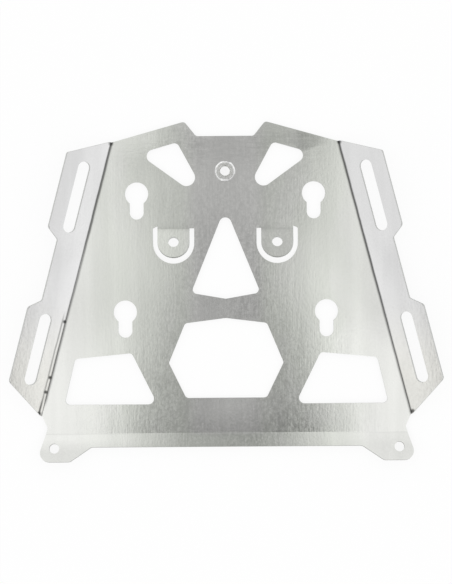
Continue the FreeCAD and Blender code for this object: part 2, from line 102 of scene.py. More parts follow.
class NodeBoard:
    """Small helper that lays out one material's nodes."""

    def __init__(self, name: str) -> None:
        """Start an empty node tree.

        Args:
            name: name of the new material.
        """
        self.material = bpy.data.materials.new(name)
        self.material.use_nodes = True
        self.tree = self.material.node_tree
        self.tree.nodes.clear()
        self.place = self.add("ShaderNodeTexCoord").outputs["Object"]

    def add(self, kind: str, inputs: Inputs | None = None, **settings: object) -> bpy.types.Node:
        """Add a node, with a link to each input that gets a socket and a constant in the others.

        Args:
            kind: Blender's name of the node type.
            inputs: sockets, numbers or tuples by input; one that is None is left alone.
            settings: node properties to set.

        Returns:
            The new node.
        """
        node = self.tree.nodes.new(kind)
        for key, value in settings.items():
            setattr(node, key, value)
        for key, value in (inputs or {}).items():
            if isinstance(value, Socket):
                self.tree.links.new(value, node.inputs[key])
            elif value is not None:
                node.inputs[key].default_value = value
        return node

    def math(self, op: Op, first: Value, second: Value = 0.0) -> Socket:
        """One Math node.

        Args:
            op: the operation.
            first: first operand, a socket or a number.
            second: second operand.

        Returns:
            The result's socket.
        """
        return self.add("ShaderNodeMath", {0: first, 1: second}, operation=op.value).outputs[0]

    def vector(self, operation: str, second: Triple) -> bpy.types.NodeOutputs:
        """One Vector Math node of the place, in metres, and a constant.

        Args:
            operation: Blender's name of the operation.
            second: the constant.

        Returns:
            The node's outputs.
        """
        return self.add("ShaderNodeVectorMath", {0: self.place, 1: second}, operation=operation).outputs

    def scaled(self, per_metre: Triple) -> Socket:
        """The place, counted in a number of pattern cells per metre along each axis."""
        return self.vector("MULTIPLY", per_metre)["Vector"]

    def along(self, direction: Triple) -> Socket:
        """Dot product of the place with a direction, in metres."""
        return self.vector("DOT_PRODUCT", direction)["Value"]

    def side(self) -> Socket:
        """Distance from the sheet's middle line, in metres."""
        return self.math(Op.ABSOLUTE, self.along(RIGHT))

    def half(self, direction: Triple) -> Socket:
        """Mask of one half of the sheet, left or right."""
        return self.remap(self.along(direction), 0.0, 1.0 * MM)

    def times(self, first: Value, *others: Value) -> Socket:
        """Product of two or more numbers."""
        return reduce(lambda product, other: self.math(Op.MULTIPLY, product, other), others, first)

    def noise(self, per_metre: Triple, detail: float = 2.0, roughness: float = 0.5) -> Socket:
        """Noise between 0 and 1.

        Args:
            per_metre: cells per metre along each axis.
            detail: layers of finer noise.
            roughness: strength of the finer layers.

        Returns:
            The noise.
        """
        inputs = {"Vector": self.scaled(per_metre), "Scale": 1.0, "Detail": detail, "Roughness": roughness}
        return self.add("ShaderNodeTexNoise", inputs).outputs["Fac"]

    def remap(self, value: Value, low: float, high: float, to_low: float = 0.0,
              to_high: float = 1.0) -> Socket:
        """Smooth step, level beyond its ends.

        Args:
            value: the driving number.
            low: value where the step starts.
            high: value where it ends.
            to_low: result at low.
            to_high: result at high.

        Returns:
            The step's result.
        """
        inputs = {"Value": value, "From Min": low, "From Max": high, "To Min": to_low, "To Max": to_high}
        return self.add("ShaderNodeMapRange", inputs, interpolation_type="SMOOTHSTEP").outputs["Result"]

    def ramp(self, value: Value, stops: Stops) -> Socket:
        """Piecewise grey curve, level beyond its ends.

        Args:
            value: the driving number.
            stops: (value, grey) pairs in rising order.

        Returns:
            The curve's grey.
        """
        low, high = stops[0][0], stops[-1][0]
        share = self.math(Op.DIVIDE, self.math(Op.SUBTRACT, value, low), high - low)
        node = self.add("ShaderNodeValToRGB", {"Fac": share})
        elements = node.color_ramp.elements
        while len(elements) < len(stops):
            elements.new(0.5)
        for element, (where, grey) in zip(elements, stops):
            element.position = (where - low) / (high - low)
            element.color = (grey, grey, grey, 1.0)
        return node.outputs["Color"]

    def blend(self, first: Value, second: Value, share: Value, kind: str = "MIX") -> Socket:
        """Mix two colours.

        Args:
            first: colour at share 0.
            second: colour at share 1.
            share: the mix, from 0 to 1.
            kind: Blender's blend type.

        Returns:
            The mixed colour.
        """
        inputs = {"Factor": share, "A": first, "B": second}
        node = self.add("ShaderNodeMix", inputs, data_type="RGBA", blend_type=kind)
        return next(s for s in node.outputs if s.type == "RGBA" and s.enabled)

    def shade(self, value: Value) -> Socket:
        """A number as a grey colour."""
        inputs = {"Red": value, "Green": value, "Blue": value}
        return self.add("ShaderNodeCombineColor", inputs).outputs["Color"]

    def bump(self, height: Value, depth: float, strength: float = 1.0,
             under: Socket | None = None) -> Socket:
        """Bump in the surface.

        Args:
            height: the pattern.
            depth: metres that a height of 1 stands for.
            strength: share of the bump's effect.
            under: normal of a bump that this one lies on, or None.

        Returns:
            The bumped normal.
        """
        inputs = {"Height": height, "Distance": depth, "Strength": strength, "Normal": under}
        return self.add("ShaderNodeBump", inputs).outputs["Normal"]

    def surfaced(self, surface: Socket) -> bpy.types.Material:
        """The finished material, with this surface."""
        self.add("ShaderNodeOutputMaterial", {"Surface": surface})
        return self.material

    def metal(self, colour: Value, roughness: Value, normal: Value, anisotropy: float = 0.0,
              tangent: Socket | None = None) -> bpy.types.Material:
        """Finish the material as a bare metal.

        Args:
            colour: base colour.
            roughness: roughness, a number or a socket.
            normal: the bump's normal.
            anisotropy: stretch of the highlights across the grain.
            tangent: the grain's tangent, or None.

        Returns:
            The finished material.
        """
        shader = self.add("ShaderNodeBsdfPrincipled", {
            "Base Color": colour, "Metallic": 1.0, "Roughness": roughness, "Normal": normal,
            "Anisotropic": anisotropy, "Tangent": tangent})
        return self.surfaced(shader.outputs["BSDF"])


@dataclass(frozen=True)
class WingFold:
    """The slanted line that a wing is folded along, mirrored left and right."""

    front_half_width: float = 97.1 * MM
    front_y: float = 25.3 * MM
    slant: float = math.radians(14.58)

    def outward(self, board: NodeBoard) -> Socket:
        """Distance outward from the fold line: (|x| - x0) cos(slant) + (y - y0) sin(slant)."""
        return self.turned(board, math.cos(self.slant), math.sin(self.slant))

    def rearward(self, board: NodeBoard) -> Socket:
        """Distance along the fold from its front end: (|x| - x0) sin(slant) - (y - y0) cos(slant)."""
        return self.turned(board, math.sin(self.slant), -math.cos(self.slant))

    def turned(self, board: NodeBoard, sideways: float, ahead: float) -> Socket:
        """(|x| - x0) * sideways + (y - y0) * ahead, from the fold's front end (x0, y0)."""
        place = board.math(Op.ADD, board.times(board.side(), sideways), board.along((0.0, ahead, 0.0)))
        return board.math(Op.SUBTRACT, place, self.front_half_width * sideways + self.front_y * ahead)


@dataclass(frozen=True)
class CreaseShadeSpot:
    """Soft dark spot of the painted crease shade, placed outward from a wing's fold and along it."""

    place: Pair
    radius: float = 2.3 * MM
    grey: float = 0.14

    def over(self, board: NodeBoard, under: Value, outward: Value, along: Value, share: Value) -> Socket:
        """Multiply a colour by the spot, which is grey at its middle and 1 at its radius.

        Args:
            board: the node board.
            under: the colour that the spot lies on.
            outward: distance outward from the fold.
            along: distance along the fold.
            share: the spot's strength.

        Returns:
            The darkened colour.
        """
        one = board.math(Op.SUBTRACT, outward, self.place[0])
        two = board.math(Op.SUBTRACT, along, self.place[1])
        distance = board.math(Op.SQRT, board.math(Op.ADD, board.times(one, one), board.times(two, two)))
        soft = board.remap(distance, 0.2 * self.radius, self.radius, self.grey, 1.0)
        return board.blend(under, board.shade(soft), share, "MULTIPLY")


@dataclass(frozen=True)
class CreaseShadeLines:
    """Painted shade along a wing's fold: dark lines, in the fold's own coordinates, that stand in for the
    shade and dark reflection in its crease.

    The inner line runs the whole fold. On the left a second line runs beside it over the rear part,
    the two meet in dark knots, and behind the last knot the outer line takes over as the darker one.
    """

    greys: Stops = (
        (-1.9 * MM, 1.0), (-0.9 * MM, 0.86), (-0.45 * MM, 0.46), (0.2 * MM, 0.25), (0.9 * MM, 0.27),
        (1.4 * MM, 0.58), (1.9 * MM, 1.0))
    wander: float = 0.7 * MM
    wander_cells: Triple = (95.0, 95.0, 95.0)
    fading: float = 0.30
    fades_over: Pair = mm(90, 235)
    left_fading: float = 0.25
    left_fades_over: Pair = mm(76, 112)
    left_inset: float = 0.5 * MM
    inset_ends: Pair = mm(120, 160)
    second_offset: float = 3.3 * MM
    second_starts: Pair = mm(148, 162)
    second_faint: Triple = (0.1 * MM, 1.1 * MM, 0.52)
    second_dark: Triple = (0.2 * MM, 1.3 * MM, 0.22)
    takes_over: Pair = mm(221.5, 237.5)
    left_marks: tuple[CreaseShadeSpot, ...] = (
        CreaseShadeSpot(mm(1.4, 159)), CreaseShadeSpot(mm(1.8, 208.5)), CreaseShadeSpot(mm(2.2, 221.5)),
        CreaseShadeSpot(mm(3.2, 241), 2.9 * MM, 0.22))
    right_marks: tuple[CreaseShadeSpot, ...] = (CreaseShadeSpot(mm(2, 240.5), 2.9 * MM, 0.18),)
    front_marks: tuple[CreaseShadeSpot, ...] = (CreaseShadeSpot(mm(0.9, 1), 2.9 * MM, 0.30),)
    fold: WingFold = WingFold()

    def grey(self, board: NodeBoard) -> Socket:
        """Grey factor of the lines, knots and end marks.

        Args:
            board: the node board.

        Returns:
            The grey factor.
        """
        left, right = board.half(LEFT), board.half(RIGHT)
        along = self.fold.rearward(board)
        shift = board.times(board.math(Op.SUBTRACT, board.noise(self.wander_cells), 0.5), self.wander)
        inset = board.times(left, board.remap(along, *self.inset_ends, self.left_inset, 0.0))
        outward = board.math(Op.ADD, board.math(Op.ADD, self.fold.outward(board), shift), inset)
        behind = board.times(left, board.remap(along, *self.takes_over))
        fading = board.remap(along, *self.fades_over, 0.0, self.fading)
        left_fading = board.times(left, board.remap(along, *self.left_fades_over, 0.0, self.left_fading))
        fading = board.math(Op.MAXIMUM, board.math(Op.MAXIMUM, fading, left_fading), behind)
        inner = board.blend(board.ramp(outward, self.greys), WHITE, fading)
        distance = board.math(Op.ABSOLUTE, board.math(Op.SUBTRACT, outward, self.second_offset))
        faint, dark = (board.shade(board.remap(distance, start, end, grey, 1.0))
                       for start, end, grey in (self.second_faint, self.second_dark))
        present = board.times(left, board.remap(along, *self.second_starts))
        second = board.blend(WHITE, board.blend(faint, dark, behind), present)
        line = board.blend(inner, second, 1.0, "MULTIPLY")
        for marks, share in ((self.left_marks, left), (self.right_marks, right), (self.front_marks, 1.0)):
            for mark in marks:
                line = mark.over(board, line, outward, along, share)
        return line


@dataclass(frozen=True)
class FrontPaintedReflection:
    """Painted dark reflection at the front right, with a firm lower edge that rises to the right."""

    start: Pair = mm(67, 16.6)
    rise: float = 0.37
    softness: float = 1.6 * MM
    left_fade: Pair = mm(54, 68)
    right_fade: Pair = mm(76, 91)
    depth: float = 0.21

    def grey(self, board: NodeBoard) -> Socket:
        """Grey factor: darkest above the line y = start + rise * (x - start), fading at both ends.

        Args:
            board: the node board.

        Returns:
            The grey factor.
        """
        x = board.along(RIGHT)
        line_y = self.start[1] - self.rise * self.start[0]
        above = board.math(Op.SUBTRACT, board.along((-self.rise, 1.0, 0.0)), line_y)
        inside = board.times(board.remap(above, -self.softness, self.softness),
                             board.remap(x, *self.left_fade),
                             board.remap(x, *self.right_fade, 1.0, 0.0))
        return board.shade(board.math(Op.SUBTRACT, 1.0, board.times(inside, self.depth)))


@dataclass(frozen=True)
class TongueFoldShade:
    """Soft painted shade along each bolt tongue's fold."""

    fold_y: float = -48.8 * MM
    inner_x: float = 31.0 * MM
    outer_x: float = 59.0 * MM
    fade: float = 4.0 * MM
    greys: Stops = (
        (-4.5 * MM, 1.0), (-2.2 * MM, 0.955), (-0.5 * MM, 0.89), (0.4 * MM, 0.93), (2.0 * MM, 0.955),
        (5.5 * MM, 1.0))

    def grey(self, board: NodeBoard) -> Socket:
        """Grey factor: a curve of the distance ahead of the fold, kept to the tongue's width.

        Args:
            board: the node board.

        Returns:
            The grey factor.
        """
        side = board.side()
        curve = board.ramp(board.math(Op.SUBTRACT, board.along(FRONT), self.fold_y), self.greys)
        inside = board.times(board.remap(side, self.inner_x - self.fade, self.inner_x),
                             board.remap(side, self.outer_x, self.outer_x + self.fade, 1.0, 0.0))
        return board.blend(WHITE, curve, inside)


@dataclass(frozen=True)
class WingColourShadeAndHighlight:
    """Colour of the wings: warmer at the rear, with painted shade at the outer middle and a painted highlight
    at the left front.
    """

    colour: Colour = (0.82, 0.82, 0.82, 1.0)
    rear: Colour = (0.83, 0.825, 0.785, 1.0)
    rear_ends: Pair = mm(-180, -100)
    # Painted shade at the wings' outer middle.
    shade: float = 0.10
    shade_starts: Pair = mm(-160, -115)
    shade_ends: Pair = mm(-78, -50)
    shade_outward: Pair = mm(1, 18)
    # Painted highlight at the left wing's front, strongest near its fold.
    painted_highlight: float = 0.40
    painted_highlight_starts: Pair = mm(-75, -30)
    painted_highlight_outward: Pair = mm(3, 28)

    def mixed(self, board: NodeBoard, outward: Value) -> Socket:
        """The wings' colour, with its painted shade and highlight.

        Args:
            board: the node board.
            outward: distance outward from the wings' folds.

        Returns:
            The colour.
        """
        ahead = board.along(FRONT)
        colour = board.blend(self.rear, self.colour, board.remap(ahead, *self.rear_ends))
        # Painted shade at the wings' outer middle.
        shaded = board.times(board.remap(ahead, *self.shade_starts, 0.0, self.shade),
                             board.remap(ahead, *self.shade_ends, 1.0, 0.0),
                             board.remap(outward, *self.shade_outward))
        colour = board.blend(colour, BLACK, shaded)
        # Painted highlight at the left wing's front.
        highlight_share = board.times(board.half(LEFT), board.remap(ahead, *self.painted_highlight_starts),
                             board.remap(outward, *self.painted_highlight_outward, self.painted_highlight, 0.0))
        return board.blend(colour, WHITE, highlight_share)


@dataclass(frozen=True)
class FlangePaintedReflection:
    """Painted reflection on the rear flange and its ears, as a grey gain by the distance ahead of the
    flange's fold: darker in the middle, lighter toward the sides and on the left, with painted shade on the
    ears.
    """

    fold_y: float = -224.0 * MM
    middle_to_side: Pair = mm(50, 120)
    at_fold: Pair = (0.915, 1.12)
    at_edge: Pair = (0.965, 1.07)
    edge_to_fold: Pair = mm(-11, -2)
    starts: Pair = mm(-2, 0)
    left_to_right: Pair = mm(-90, 90)
    lean: Pair = (1.045, 0.955)
    ear_shade: Pair = (0.125, 0.045)
    ear_to_fold: Pair = mm(-18, -5)

    def grey(self, board: NodeBoard) -> Socket:
        """Grey gain: stated at the fold and the edge, for the middle and the sides.

        Args:
            board: the node board.

        Returns:
            The grey gain.
        """
        side, x = board.side(), board.along(RIGHT)
        ahead = board.math(Op.SUBTRACT, board.along(FRONT), self.fold_y)
        # Painted reflection: darker in the middle, lighter toward the sides.
        at_fold = board.shade(board.remap(side, *self.middle_to_side, *self.at_fold))
        at_edge = board.shade(board.remap(side, *self.middle_to_side, *self.at_edge))
        gain = board.blend(at_fold, at_edge, board.remap(ahead, *self.edge_to_fold, 1.0, 0.0))
        # Painted shade on the ears, deeper on the left.
        ear = board.times(board.remap(ahead, *self.ear_to_fold, 1.0, 0.0),
                          board.remap(x, *self.left_to_right, *self.ear_shade))
        # Painted reflection lighter on the left than on the right.
        leaning = board.times(board.remap(x, *self.left_to_right, *self.lean),
                              board.math(Op.SUBTRACT, 1.0, ear))
        gain = board.blend(gain, board.shade(leaning), 1.0, "MULTIPLY")
        return board.blend(WHITE, gain, board.remap(ahead, *self.starts, 1.0, 0.0))


@dataclass(frozen=True)
class BrushedSheetFinish:
    """Bare rolled aluminium: short streaks from front to rear and tinted zones, with painted shade, highlight
    and reflection on the wings, folds, flange and front.
    """

    neutral: Colour = (0.847, 0.846, 0.826, 1.0)
    neutral_side: Pair = mm(22, 40)
    neutral_starts: Pair = mm(-228, -222)
    tinted: Colour = (0.833, 0.853, 0.797, 1.0)
    outer: Colour = (0.844, 0.845, 0.822, 1.0)
    outer_side: Pair = mm(88, 135)
    outer_share: float = 0.8
    cloudy: Pair = (0.45, 0.7)
    cloudy_share: float = 0.45
    fold_shade: float = 0.05
    fold_shade_y: float = -128.0 * MM
    fold_shade_reach: Pair = mm(9, 30)
    fold_shade_width: Pair = mm(8, 20)
    roughness: Pair = (0.105, 0.205)
    anisotropy: float = 0.6
    streak_cells: Triple = (500.0, 400.0, 500.0)
    streak_share: float = 0.62
    long_cells: Triple = (620.0, 62.0, 620.0)
    cross_cells: Triple = (110.0, 560.0, 560.0)
    cross_starts: Pair = mm(-8, 10)
    cross_share: float = 0.35
    cloud_cells: Triple = (26.0, 13.0, 26.0)
    roll_cells: Triple = (75.0, 5.0, 75.0)
    streak_greys: Pair = (0.97, 1.02)
    cloud_greys: Pair = (0.97, 1.01)
    roll_greys: Pair = (0.977, 1.033)
    streak_depth: float = 0.080 * MM
    # Painted light and shade: painted shade and highlight on the wings, painted reflection on the flange and
    # at the front, painted shade along the tongue and wing folds.
    wing: WingColourShadeAndHighlight = WingColourShadeAndHighlight()
    flange: FlangePaintedReflection = FlangePaintedReflection()
    front_painted_reflection: FrontPaintedReflection = FrontPaintedReflection()
    tongue: TongueFoldShade = TongueFoldShade()
    crease: CreaseShadeLines = CreaseShadeLines()

    def streaks(self, board: NodeBoard) -> Socket:
        """Height of the grain: short and long streaks, and near the front some across the sheet.

        Args:
            board: the node board.

        Returns:
            The height, between 0 and 1.
        """
        short = board.noise(self.streak_cells, 2.0, 0.6)
        long = board.noise(self.long_cells, 2.0, 0.55)
        cross = board.noise(self.cross_cells)
        front = board.remap(board.along(FRONT), *self.cross_starts, 0.0, self.cross_share)
        down = board.math(Op.ADD, board.times(short, self.streak_share),
                          board.times(long, 1.0 - self.streak_share))
        return board.math(Op.ADD, board.times(down, board.math(Op.SUBTRACT, 1.0, front)),
                          board.times(cross, front))

    def fold_shading(self, board: NodeBoard, outward: Value) -> Socket:
        """Soft shade on both sides of the right wing's fold, over a part of its length.

        Args:
            board: the node board.
            outward: distance outward from the fold.

        Returns:
            The share of black.
        """
        away = board.math(Op.ABSOLUTE, board.math(Op.SUBTRACT, board.along(FRONT), self.fold_shade_y))
        beside = board.math(Op.ABSOLUTE, outward)
        return board.times(board.remap(beside, *self.fold_shade_width, self.fold_shade, 0.0),
                           board.remap(away, *self.fold_shade_reach, 1.0, 0.0), board.half(RIGHT))

    def tint(self, board: NodeBoard, cloud: Value) -> Socket:
        """Base colour by zone: neutral middle, tinted panel with paler outer parts and clouds, and the wings
        with their painted shade and highlight, all darkened by painted shade beside the right wing's fold.

        Args:
            board: the node board.
            cloud: the cloudy pattern.

        Returns:
            The colour.
        """
        side = board.side()
        middle = board.times(board.remap(side, *self.neutral_side, 1.0, 0.0),
                             board.remap(board.along(FRONT), *self.neutral_starts))
        colour = board.blend(self.tinted, self.neutral, middle)
        colour = board.blend(colour, self.outer, board.remap(side, *self.outer_side, 0.0, self.outer_share))
        colour = board.blend(colour, self.neutral, board.remap(cloud, *self.cloudy, 0.0, self.cloudy_share))
        outward = self.crease.fold.outward(board)
        on_wing = board.remap(outward, 0.0, 1.0 * MM)
        colour = board.blend(colour, self.wing.mixed(board, outward), on_wing)
        return board.blend(colour, BLACK, self.fold_shading(board, outward))

    def material(self) -> bpy.types.Material:
        """Build the sheet's skin.

        Returns:
            The material.
        """
        board = NodeBoard("brushed_sheet")
        streaks = self.streaks(board)
        cloud = board.noise(self.cloud_cells, 3.0, 0.55)
        rolled = board.noise(self.roll_cells)
        layers = [board.shade(board.remap(pattern, *NOISE_RANGE, *greys)) for pattern, greys in (
            (streaks, self.streak_greys), (cloud, self.cloud_greys), (rolled, self.roll_greys))]
        # Layers of painted reflection on the flange and at the front, and painted shade along the tongue and
        # wing folds.
        layers += [part.grey(board) for part in (self.flange, self.front_painted_reflection, self.tongue, self.crease)]
        colour = self.tint(board, cloud)
        for layer in layers:
            colour = board.blend(colour, layer, 1.0, "MULTIPLY")
        roughness = board.remap(streaks, *NOISE_RANGE, *self.roughness)
        tangent = board.add("ShaderNodeTangent", direction_type="UV_MAP", uv_map="flat")
        return board.metal(colour, roughness, board.bump(streaks, self.streak_depth), self.anisotropy,
                           tangent.outputs["Tangent"])


@dataclass(frozen=True)
class CutWallFinish:
    """Laser-cut wall of the sheet: duller than the skin, with painted shade on the rear walls and fine
    striations.
    """

    colour: Colour = (0.64, 0.645, 0.63, 1.0)
    painted_rear_shade: Colour = (0.36, 0.36, 0.345, 1.0)
    painted_rear_shade_ends: Pair = mm(-225, -205)
    striation_cells: Triple = (2600.0, 2600.0, 60.0)
    striation_greys: Stops = ((0.3, 0.78), (0.65, 1.0))
    striation_depth: float = 0.02 * MM
    roughness: Pair = (0.55, 0.4)

    def material(self) -> bpy.types.Material:
        """Build the cut wall.

        Returns:
            The material.
        """
        board = NodeBoard("laser_cut_wall")
        ribs = board.noise(self.striation_cells, 2.0, 0.6)
        # Painted shade on the walls at the rear edge.
        rear = board.remap(board.along(FRONT), *self.painted_rear_shade_ends, 1.0, 0.0)
        colour = board.blend(self.colour, self.painted_rear_shade, rear)
        (low, dark), (high, light) = self.striation_greys
        ribbed = board.shade(board.remap(ribs, low, high, dark, light))
        colour = board.blend(colour, ribbed, 1.0, "MULTIPLY")
        roughness = board.remap(ribs, *NOISE_RANGE, *self.roughness)
        return board.metal(colour, roughness, board.bump(ribs, self.striation_depth))


@dataclass(frozen=True)
class TurnedNutFinish:
    """Plated steel: a mottled, dented face with faint turning rings, and a painted highlight at the rim that
    adds to the chamfer's reflection.
    """

    colour: Colour = (0.93, 0.93, 0.91, 1.0)
    worn: Colour = (0.74, 0.745, 0.715, 1.0)
    worn_ends: Pair = (0.43, 0.55)
    rim_highlight_colour: Colour = (1.0, 1.0, 0.995, 1.0)
    rim_calm: float = 0.6
    rim_starts: Pair = mm(6.9, 7.4)
    ring_spacing: float = 0.35 * MM
    ring_depth: float = 0.008 * MM
    ring_strength: float = 0.5
    dent_cells: Triple = (480.0, 480.0, 480.0)
    dent_depth: float = 0.20 * MM
    dent_strength: float = 0.8
    roughness: Pair = (0.36, 0.24)

    def material(self) -> bpy.types.Material:
        """Build the nut's finish.

        Returns:
            The material.
        """
        board = NodeBoard("turned_nut")
        level_place = board.scaled((1.0, 1.0, 0.0))
        radius = board.add("ShaderNodeVectorMath", {0: level_place}, operation="LENGTH").outputs["Value"]
        rings = board.math(Op.SINE, board.times(radius, 2.0 * math.pi / self.ring_spacing))
        patches = board.noise(self.dent_cells, 2.0, 0.55)
        colour = board.blend(self.worn, self.colour, board.remap(patches, *self.worn_ends))
        # Painted highlight at the rim.
        rim = board.remap(radius, *self.rim_starts)
        colour = board.blend(colour, self.rim_highlight_colour, rim)
        calm = board.math(Op.SUBTRACT, 1.0, board.times(rim, self.rim_calm))
        height = board.times(board.math(Op.SUBTRACT, patches, 0.5), calm)
        dents = board.bump(height, self.dent_depth, self.dent_strength)
        normal = board.bump(rings, self.ring_depth, self.ring_strength, dents)
        roughness = board.times(board.remap(patches, *NOISE_RANGE, *self.roughness), calm)
        return board.metal(colour, roughness, normal)


@dataclass(frozen=True)
class FloorFinish:
    """Matt white floor that looks white to the camera and to the metal, and keeps the part's shadow."""

    colour: Colour = (0.96, 0.96, 0.96, 1.0)
    glow_share: float = 0.85

    def material(self) -> bpy.types.Material:
        """Build the floor: a matt surface mixed with a plain white glow for camera and glossy rays.

        Returns:
            The material.
        """
        board = NodeBoard("white_floor")
        matt = board.add("ShaderNodeBsdfDiffuse", {"Color": self.colour})
        glow = board.add("ShaderNodeEmission", {"Color": WHITE})
        path = board.add("ShaderNodeLightPath")
        seen = board.math(Op.MAXIMUM, path.outputs["Is Camera Ray"], path.outputs["Is Glossy Ray"])
        seen = board.math(Op.MAXIMUM, seen, path.outputs["Is Transmission Ray"])
        mix = board.add("ShaderNodeMixShader", {
            0: board.times(seen, self.glow_share), 1: matt.outputs["BSDF"], 2: glow.outputs["Emission"]})
        return board.surfaced(mix.outputs["Shader"])


def grid_object(name: str, grid: Array, close_rows: bool = False, close_columns: bool = False,
                turned: bool = False) -> bpy.types.Object:
    """Smooth mesh object at the origin: quads over a grid of points, optionally closed on itself.

    Args:
        name: name of the object.
        grid: (rows, columns, 3) places in metres.
        close_rows: join the last row to the first.
        close_columns: join the last column to the first.
        turned: let the faces look the other way.

    Returns:
        The linked object.
    """
    rows, columns = grid.shape[:2]
    i = np.arange(rows if close_rows else rows - 1)[:, None]
    j = np.arange(columns if close_columns else columns - 1)[None, :]
    i_next, j_next = (i + 1) % rows, (j + 1) % columns
    quads = [i * columns + j, i_next * columns + j, i_next * columns + j_next, i * columns + j_next]
    faces = np.stack(quads[::-1] if turned else quads, axis=-1).reshape(-1, 4)
    mesh = bpy.data.meshes.new(name)
    mesh.from_pydata(grid.reshape(-1, 3).tolist(), [], faces.tolist())
    mesh.update()
    mesh.shade_smooth()
    made = bpy.data.objects.new(name, mesh)
    bpy.context.scene.collection.objects.link(made)
    return made


@dataclass
class FoldedSheet:
    """The plate: its solid's surface merged into one skin, with lightly broken edges."""

    node: str = "mounting_plate"
    same_point: float = 0.002 * MM
    flat_angle: float = math.radians(0.4)
    edge_radius: float = 0.16 * MM
    edge_angle: float = math.radians(32.0)
    wall_slope: float = 0.6
    map_tilt: float = 0.31
    skin: BrushedSheetFinish = BrushedSheetFinish()
    wall: CutWallFinish = CutWallFinish()

    def merged(self) -> bpy.types.Mesh:
        """Copy of the node's triangles with doubled points merged and flat neighbours joined.

        Returns:
            The new mesh.
        """
        mesh = frame["nodes"][self.node].data.copy()
        mesh.name = "folded_sheet"
        work = bmesh.new()
        work.from_mesh(mesh)
        bmesh.ops.remove_doubles(work, verts=work.verts, dist=self.same_point)
        bmesh.ops.dissolve_limit(work, angle_limit=self.flat_angle, verts=work.verts, edges=work.edges,
                                 delimit={"NORMAL"})
        bmesh.ops.triangulate(work, faces=work.faces)
        work.to_mesh(mesh)
        work.free()
        return mesh

    def flat_map(self, mesh: bpy.types.Mesh) -> None:
        """Add a UV map for the grain's tangent: u = x + tilt * z and v = y + tilt * z.

        Args:
            mesh: the mesh that gets the map.
        """
        points = np.empty(len(mesh.vertices) * 3)
        mesh.vertices.foreach_get("co", points)
        corners = np.empty(len(mesh.loops), dtype=np.int64)
        mesh.loops.foreach_get("vertex_index", corners)
        places = points.reshape(-1, 3)[corners]
        while mesh.uv_layers:
            mesh.uv_layers.remove(mesh.uv_layers[0])
        layer = mesh.uv_layers.new(name="flat")
        upright = places[:, 2] * self.map_tilt
        flat = np.stack([places[:, 0] + upright, places[:, 1] + upright], axis=-1)
        layer.data.foreach_set("uv", flat.astype(np.float32).ravel())

    def build(self) -> bpy.types.Object:
        """Make the sheet's piece and give its faces their material slots.

        Returns:
            The piece.
        """
        mesh = self.merged()
        self.flat_map(mesh)
        mesh.materials.clear()
        mesh.materials.append(self.skin.material())
        mesh.materials.append(self.wall.material())
        normals = np.empty(len(mesh.polygons) * 3)
        mesh.polygons.foreach_get("normal", normals)
        is_wall = np.abs(normals.reshape(-1, 3)[:, 2]) < self.wall_slope
        slots = np.where(is_wall, SheetFace.CUT.value, SheetFace.SKIN.value).astype(np.int32)
        mesh.polygons.foreach_set("material_index", slots)
        mesh.polygons.foreach_set("use_smooth", np.ones(len(mesh.polygons), dtype=bool))
        made = bpy.data.objects.new("folded_sheet", mesh)
        bpy.context.scene.collection.objects.link(made)
        edge = made.modifiers.new("broken_edges", "BEVEL")
        edge.width = self.edge_radius
        edge.segments = 2
        edge.limit_method = "ANGLE"
        edge.angle_limit = self.edge_angle
        flats = made.modifiers.new("flat_faces", "WEIGHTED_NORMAL")
        flats.weight = 90
        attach(made, "root")
        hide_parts(self.node)
        return made


